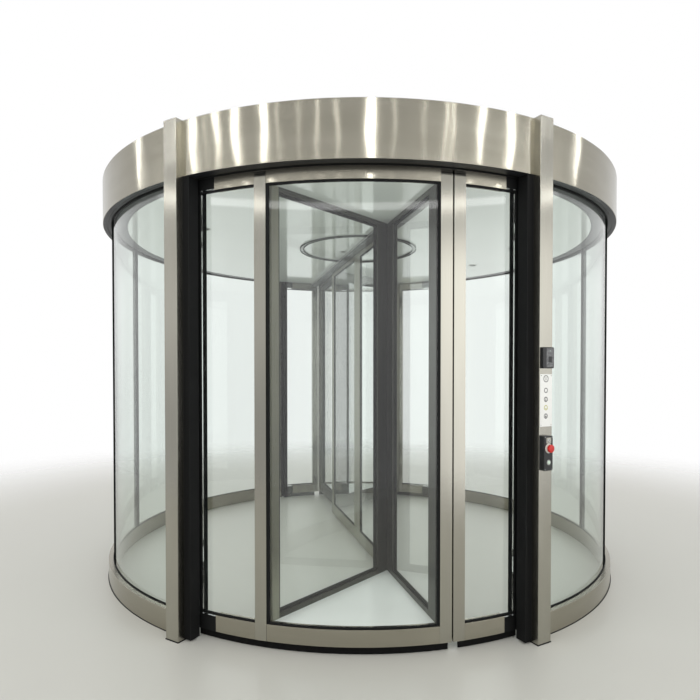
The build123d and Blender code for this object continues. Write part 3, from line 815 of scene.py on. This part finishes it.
for name, angle in halves.items():
    panels = start_piece()
    curved_stile(panels, angle + left_stile_start, angle + left_stile_end)
    curved_stile(panels, angle + right_stile_start, angle + right_stile_end)
    access = start_piece()
    curved_stile(access, angle + access_stile_start, angle + access_end)
    for low, high in ((rail_low, rail_high), (head_low, head_top)):
        curved_rail(panels, low, high, angle - left_rail_end, angle + left_stile_start - play)
        curved_rail(panels, low, high, angle + right_stile_end + play, angle + right_rail_end)
        curved_rail(access, low, high, angle + access_start, angle + access_stile_start - play)
    close_piece("shell_side_panels_" + name, panels, [upright_steel, hairline_steel], "rotor",
                ["shell_frame_" + name], "satin_stainless")
    close_piece("access_panel_frame_" + name, access, [upright_steel, hairline_steel], "rotor",
                ["access_panel_" + name], "satin_stainless")

    spans = ((-shell_end, left_stile_start), (access_start, access_stile_start), (right_stile_end, shell_end))
    section = oblong(pane_inner, pane_outer, rail_high - pane_bite, head_low + pane_bite)
    panes = start_piece()
    rims = start_piece()
    for number, (start, end) in enumerate(spans):
        first, last = angle + start + play, angle + end - play
        sweep(panes, section, first, last, step=0.5)
        gasket_frame(rims, rail_high, head_low, first, last, number == 1)
    close_piece("shell_panes_" + name, panes, [clear_glass], "rotor", ["shell_glass_" + name], "clear_glass")
    close_piece("shell_gaskets_" + name, rims, [black_rubber], "rotor", slot="black_rubber")


# End seals and floor brushes: black rubber strips close the ends of each shell, and dense nylon brushes
# under its rails sweep the floor.
# Nylon brush: black bristles 0.3 mm thick, drawn as upright tufts 2 mm apart so that they show.
black_brush = grained("black_nylon_brush", ("#050505", "#171716"), 2, 4.0,
                      {"Roughness": 0.8, "Specular IOR Level": 0.15}, upward=83.3, relief=0.6, depth=1.0,
                      shares=(0.35, 0.7))

dress(black_rubber, "end_seals_front", "end_seals_back")
dress(black_brush, "floor_brushes_front", "floor_brushes_back")


# Showcase walls: dark anodised profiles with a pane in each, one wall beside the wing and one diagonal, that
# meet in an angled apex post. Black gaskets line the panes.
wall_inner = -78
wall_outer = -38
wall_thick = wall_outer - wall_inner
wall_rail_high = 150
wall_head_low = 2279
wall_gasket = 12
pane_half = 5
pane_edge = 0.8
butt_play = 0.3
shell_play = 3
gasket_shallow = 9
gasket_deep = 15
side_stile = 98
diagonal_stile = 50
diagonal_angle = -40.2
apex_distance = 977
apex_leg = 98
apex_blunt = 25
apex_edge = 5.0

# Dark and grey anodised aluminium: satin, die lines along the bar, drawn 2.5 mm apart so that they show.
dark_anodised = brushed_metal("dark_grey_anodised_aluminium", ("#3E3F39", "#55564E"), (0.3, 0.38), 2.5, 0.4)
grey_anodised = brushed_metal("grey_anodised_aluminium", ("#858475", "#9C9B8B"), (0.3, 0.38), 2.5, 0.4)


def ahead_of(angle):
    """Plan direction at an angle from the front."""
    return Vector((sin(radians(angle)), -cos(radians(angle))))


def right_of(angle):
    """Plan direction to the right of an angle from the front."""
    return Vector((cos(radians(angle)), sin(radians(angle))))


def wing_point(along, side):
    """Plan point at a distance along the wing and an offset to its right."""
    return ahead_of(wing_angle) * along + right_of(wing_angle) * side


inner_corner = wing_point(apex_distance, wall_inner)


def diagonal_point(along, side):
    """Plan point along the diagonal wall from the inner corner, outside is negative."""
    return inner_corner + ahead_of(diagonal_angle) * along + right_of(diagonal_angle) * side


def column(mesh, place, outline, low, high, edge):
    """Upright column over a plan outline, its upright edges rounded. The grain map runs up it."""
    part = start_piece()
    corners = rounded(outline, edge)
    rows = [[part.verts.new(Vector((x, y, level)) / 1000) for x, y in corners] for level in (low, high)]
    layer = part.loops.layers.uv["grain"]
    walk = 0
    for i in range(len(corners)):
        j = (i + 1) % len(corners)
        width = (corners[j] - corners[i]).length / 1000
        face = part.faces.new((rows[0][i], rows[0][j], rows[1][j], rows[1][i]))
        for loop, (across, z) in zip(face.loops, ((0, low), (width, low), (width, high), (0, high))):
            loop[layer].uv = (z / 1000, walk + across)
        walk += width
    part.faces.new(rows[0])
    part.faces.new(rows[1])
    join(mesh, part, place, 0)


def wall_bars(mesh, place, start, end, stile, side, finish):
    """Rails and end stile of a wall, up to the shell."""
    for low, high in ((rail_low, wall_rail_high), (wall_head_low, head_top)):
        bar(mesh, place, (start + butt_play, end - stile), side, (low, high), upright=False)
    bar(mesh, place, (end - stile + butt_play, end - shell_play), side, (rail_low, head_top), 1.5,
        finish=finish)


def flat_pane(mesh, place, along, middle, height):
    """Pane let into the profiles round it."""
    bar(mesh, place, (along[0] - pane_bite, along[1] + pane_bite), (middle - pane_half, middle + pane_half),
        (height[0] - pane_bite, height[1] + pane_bite), pane_edge)


def flat_gaskets(mesh, place, along, sides, height, wide):
    """Gaskets on both faces of a pane, along its rails and up its stiles."""
    for side in sides:
        for low in (height[0], height[1] - wide):
            bar(mesh, place, along, side, (low, low + wide), pane_edge, upright=False)
        for first in (along[0], along[1] - wide):
            bar(mesh, place, (first, first + wide), side, height, pane_edge)


dot = inner_corner.dot(ahead_of(diagonal_angle))
diagonal_end = sqrt(dot ** 2 - inner_corner.length_squared + shell_inner ** 2) - dot
side_end = sqrt(shell_inner ** 2 - wall_inner ** 2)
tip_start = apex_blunt - wall_thick / tan(radians((wing_angle - diagonal_angle) / 2))
apex_outline = [inner_corner, wing_point(apex_distance + apex_leg, wall_inner),
                wing_point(apex_distance + apex_leg, wall_outer),
                wing_point(apex_distance + tip_start, wall_outer), diagonal_point(tip_start, -wall_thick),
                diagonal_point(apex_leg, -wall_thick), diagonal_point(apex_leg, 0)]

for name, angle in halves.items():
    wing_frame = turned(angle + wing_angle)
    diagonal_frame = turned(angle) @ shifted(*inner_corner, 0) @ turned(diagonal_angle)
    bars, apex, panes, rims = start_piece(), start_piece(), start_piece(), start_piece()
    column(apex, turned(angle), apex_outline, rail_low, head_top, apex_edge)
    for finish, (place, start, end, stile, side) in enumerate((
            (wing_frame, apex_distance + apex_leg, side_end, side_stile, (wall_inner, wall_outer)),
            (diagonal_frame, apex_leg, diagonal_end, diagonal_stile, (-wall_thick, 0)))):
        wall_bars(bars, place, start, end, stile, side, finish)
        along, height = (start, end - stile), (wall_rail_high, wall_head_low)
        flat_pane(panes, place, along, (side[0] + side[1]) / 2, height)
        flat_gaskets(rims, place, along, ((side[0] + gasket_shallow, side[0] + gasket_deep),
                                          (side[1] - gasket_deep, side[1] - gasket_shallow)),
                     height, wall_gasket)
    close_piece("showcase_wall_bars_" + name, bars, [dark_anodised, grey_anodised], "rotor",
                ["showcase_walls_" + name], "dark_profile")
    close_piece("apex_profile_" + name, apex, [dark_anodised], "rotor", ["apex_post_" + name], "dark_profile")
    close_piece("showcase_panes_" + name, panes, [clear_glass], "rotor", ["showcase_glass_" + name],
                "clear_glass")
    close_piece("showcase_gaskets_" + name, rims, [black_rubber], "rotor", slot="black_rubber")


# Showcase platform and roof: boards cut to the space between the walls and the shell, the platform sprayed
# with white lacquer and the roof enamelled like the ceiling.
# White lacquer: satin gloss with a faint orange peel of about 2 mm.
white_lacquer = grained("white_lacquered_board", ("#EDEFEB", "#F6F7F4"), 2, 1.0, {"Roughness": 0.3},
                        relief=0.08, depth=0.2, cloud=333.3)

dress(white_lacquer, "showcase_floor_front", "showcase_floor_back")
dress(ceiling_enamel, "showcase_roof_front", "showcase_roof_back")


# Wing header: a hollow aluminium channel across the rotor that carries the track of the sliding leaves, with
# a pale trim line along each face.
line_ends = (-930, 1720)
line_low = 2346
line_high = 2352
line_sink = 0.2
line_proud = 1.5

header_lines = start_piece()
for angle in halves.values():
    bar(header_lines, turned(angle + wing_angle), line_ends,
        (header_half - line_sink, header_half + line_proud), (line_low, line_high), 0.4, upright=False)
close_piece("header_trim_lines", header_lines, [satin_aluminium], "rotor", slot="satin_stainless")
dress(black_anodised, "wing_header")


# Sliding leaves: two framed panes that hang in the header's track and part in the middle. Grey anodised
# stiles and rails, black gaskets, a brush along the foot and a rubber lip where the leaves meet.
leaf_start = 1.5
leaf_end = 924
leaf_half = 15
leaf_stile = 80
leaf_low = 15
leaf_high = 2321
leaf_rail = 105
leaf_head = 2293
leaf_gasket = 8
leaf_gasket_sides = ((-11, -4.5), (4.5, 11))
hanger_inset = 60
hanger_length = 90
hanger_neck = (-7, 7)
neck_sink = 0.5
neck_rise = 0.7
hanger_head = (-22, 22)
hanger_shoulder = 2330.3
hanger_top = 2348.3
lip_side = (-6, 6)
brush_side = (-4, 4)
brush_inset = 4
brush_low = 5

inner_edge = leaf_start + leaf_stile
outer_edge = leaf_end - leaf_stile
for name, angle in halves.items():
    wing_frame = turned(angle + wing_angle)
    faces = (-leaf_half, leaf_half)
    leaf = start_piece()
    for first, last in ((leaf_start, inner_edge), (outer_edge, leaf_end)):
        bar(leaf, wing_frame, (first, last), faces, (leaf_low, leaf_high), 1.5)
    for low, high in ((leaf_low, leaf_rail), (leaf_head, leaf_high)):
        bar(leaf, wing_frame, (inner_edge + butt_play, outer_edge - butt_play), faces, (low, high),
            upright=False)
    for first in (leaf_start + hanger_inset, leaf_end - hanger_inset - hanger_length):
        span = (first, first + hanger_length)
        bar(leaf, wing_frame, span, hanger_neck, (leaf_high - neck_sink, hanger_shoulder + neck_rise), 0.8)
        bar(leaf, wing_frame, span, hanger_head, (hanger_shoulder, hanger_top))
    close_piece("leaf_bars_" + name, leaf, [grey_anodised], "leaf_" + name, ["leaf_frame_" + name],
                "dark_profile")

    pane = start_piece()
    flat_pane(pane, wing_frame, (inner_edge, outer_edge), 0, (leaf_rail, leaf_head))
    close_piece("leaf_pane_" + name, pane, [clear_glass], "leaf_" + name, ["leaf_glass_" + name],
                "clear_glass")

    rims = start_piece()
    flat_gaskets(rims, wing_frame, (inner_edge, outer_edge), leaf_gasket_sides, (leaf_rail, leaf_head),
                 leaf_gasket)
    bar(rims, wing_frame, (leaf_start - 1, leaf_start + 0.5), lip_side, (leaf_low + 1, leaf_high - 1), 0.4)
    bar(rims, wing_frame, (leaf_start + brush_inset, leaf_end - brush_inset), brush_side,
        (brush_low, leaf_low + 1), 0.5, upright=False, finish=1)
    close_piece("leaf_gaskets_" + name, rims, [black_rubber, black_brush], "leaf_" + name,
                slot="black_rubber")


# Studio floor: a plain pale sheet that keeps the door's shadow and fades out to the white background, with
# its sizes in metres.
floor_half = 9
fade_start = 3.2
fade_end = 7.0

floor_finish, tree = new_finish("pale_studio_floor")
place = add_node(tree, "TexCoord")
distance = add_node(tree, "VectorMath", {0: place.outputs["Object"]}, operation="LENGTH")
fade = add_node(tree, "MapRange", {
    "Value": distance.outputs["Value"], "From Min": fade_start, "From Max": fade_end},
    interpolation_type="SMOOTHSTEP")
pale = add_node(tree, "BsdfPrincipled", {"Base Color": linear("#CDCCC4"), "Roughness": 0.35})
clear = add_node(tree, "BsdfTransparent")
close_finish(tree, add_node(tree, "MixShader", {
    0: fade.outputs["Result"], 1: pale.outputs[0], 2: clear.outputs[0]}))
floor_mesh = bpy.data.meshes.new("studio_floor")
floor_corners = [(x * floor_half, y * floor_half, 0) for x, y in ((-1, -1), (1, -1), (1, 1), (-1, 1))]
floor_mesh.from_pydata(floor_corners, [], [(0, 1, 2, 3)])
floor_mesh.materials.append(floor_finish)
floor = bpy.data.objects.new("studio_floor", floor_mesh)
scene.collection.objects.link(floor)


# Studio light: a white background, soft light from all round that comes more from the sides than from the
# top, so that it reaches in under the canopy, and for steel and glass a mirrored wall with a bright patch on
# the right and a thin bright line ahead.
patch_way = (0.77, -0.61, 0.17)
line_lift = 0.292

world = bpy.data.worlds.new("studio")
scene.world = world
world.use_nodes = True
tree = world.node_tree
tree.nodes.clear()
path = add_node(tree, "LightPath")
way = add_node(tree, "TexCoord")
axes = add_node(tree, "SeparateXYZ", {"Vector": way.outputs["Generated"]})
aim = add_node(tree, "VectorMath", {0: way.outputs["Generated"], 1: patch_way}, operation="DOT_PRODUCT")
lift = add_node(tree, "Math", {0: axes.outputs["Z"], 1: line_lift}, operation="SUBTRACT")
off_line = add_node(tree, "Math", {0: lift.outputs[0]}, operation="ABSOLUTE")
# Each level eases from one value to another between two directions.
levels = {}
for name, value, start, end, first, last in (
        ("wall", axes.outputs["Y"], -0.9, -0.2, 0.8, 0.92),
        ("above", axes.outputs["Z"], 0.14, 0.34, 1.0, 0.85),
        ("low", axes.outputs["Z"], -0.1, 0.14, 0.7, 1.05),
        ("patch", aim.outputs["Value"], 0.8, 0.97, 0.0, 1.3),
        ("below", axes.outputs["Z"], 0.18, 0.3, 1.0, 0.0),
        ("line", off_line.outputs[0], 0.003, 0.009, 4.0, 0.0),
        ("ahead", axes.outputs["Y"], -0.1, 0.1, 1.0, 0.0),
        ("spread", axes.outputs["Z"], 0.3, 0.75, 1.2, 0.85)):
    easing = add_node(tree, "MapRange", {
        "Value": value, "From Min": start, "From Max": end, "To Min": first, "To Max": last},
        interpolation_type="SMOOTHSTEP")
    levels[name] = easing.outputs["Result"]
for name, factor in (("wall", "above"), ("wall", "low"), ("patch", "below"), ("line", "ahead")):
    product = add_node(tree, "Math", {0: levels[name], 1: levels[factor]}, operation="MULTIPLY")
    levels[name] = product.outputs[0]
for name in ("patch", "line"):
    total = add_node(tree, "Math", {0: levels["wall"], 1: levels[name]}, operation="ADD")
    levels["wall"] = total.outputs[0]
seen = add_node(tree, "Math", {
    0: path.outputs["Is Camera Ray"], 1: path.outputs["Is Transmission Ray"]}, operation="MAXIMUM")
soft = add_node(tree, "Mix", {
    "Factor": path.outputs["Is Glossy Ray"], "A": levels["spread"], "B": levels["wall"]}, data_type="FLOAT")
level = add_node(tree, "Mix", {
    "Factor": seen.outputs[0], "A": soft.outputs["Result"], "B": 1.0}, data_type="FLOAT")
sky = add_node(tree, "Background", {"Color": (1, 1, 1, 1), "Strength": level.outputs["Result"]})
add_node(tree, "OutputWorld", {"Surface": sky.outputs[0]})


def lamp(name, spot, target, width, height, power, mirrored=True):
    """Area lamp at a point, aimed at another, in metres and watts. Its image shows in steel if mirrored."""
    data = bpy.data.lights.new(name, "AREA")
    data.shape = "RECTANGLE"
    data.size = width
    data.size_y = height
    data.energy = power
    light = bpy.data.objects.new(name, data)
    light.location = spot
    light.rotation_euler = (Vector(target) - Vector(spot)).to_track_quat("-Z", "Y").to_euler()
    light.visible_camera = False
    light.visible_transmission = False
    light.visible_glossy = mirrored
    scene.collection.objects.link(light)


# Strip lamps, whose images are the upright streaks on the curved steel: x, y, z and width in metres, watts.
# The first 13 stand in front from left to right, then 4 behind the door, then 6 faint ones in front.
strip_height = 0.72
strip_lamps = (
    (-4.33, -0.82, 3.86, 0.05, 3), (-3.81, -2.81, 3.98, 0.07, 5), (-3.41, -3.42, 4.14, 0.05, 3),
    (-3.03, -3.84, 4.14, 0.10, 6), (-2.41, -4.35, 4.14, 0.11, 6), (-1.06, -4.94, 4.14, 0.03, 0.6),
    (-0.54, -5.04, 4.14, 0.03, 0.6), (0.36, -5.05, 4.14, 0.17, 9), (2.25, -4.44, 4.14, 0.03, 1),
    (2.42, -4.34, 4.14, 0.03, 1), (3.04, -3.84, 4.14, 0.07, 4), (3.60, -3.16, 3.98, 0.08, 5),
    (4.33, -0.94, 3.86, 0.06, 3), (-1.95, 4.66, 4.14, 0.10, 6), (-0.30, 5.04, 4.14, 0.16, 8),
    (1.00, 4.95, 4.14, 0.05, 2), (1.95, 4.66, 4.14, 0.10, 6), (-3.62, -3.15, 4.14, 0.02, 0.4),
    (-2.09, -4.60, 4.14, 0.02, 0.4), (-1.56, -4.80, 4.14, 0.02, 0.3), (0.96, -4.96, 4.14, 0.03, 0.4),
    (1.73, -4.74, 4.14, 0.02, 0.3), (3.98, -2.59, 4.14, 0.03, 0.8))

lamp("overhead_softbox", (0, -4.4, 4.6), (0, 0, 1.6), 4.5, 1.6, 25, mirrored=False)
for number, (x, y, z, width, power) in enumerate(strip_lamps):
    lamp("streak_lamp_%02d" % number, (x, y, z), (0, 0, z), width, strip_height, power)


# Camera: stands where the photograph was taken from, in metres and degrees. Light may pass through all the
# panes that stand behind each other.
camera_place = (0.011, -4.390, 1.3687)
camera_tilt = 90 - 0.887
camera_turn = 0.873

camera = bpy.data.cameras.new("photo_camera")
camera.lens = 27.93
camera.sensor_width = 36
camera.shift_x = -0.00174
camera.shift_y = 0.04496
viewer = bpy.data.objects.new("photo_camera", camera)
viewer.location = camera_place
viewer.rotation_euler = (radians(camera_tilt), 0, radians(camera_turn))
scene.collection.objects.link(viewer)
scene.camera = viewer

scene.view_settings.view_transform = "Standard"
scene.cycles.max_bounces = 40
scene.cycles.transmission_bounces = 40
scene.cycles.transparent_max_bounces = 40
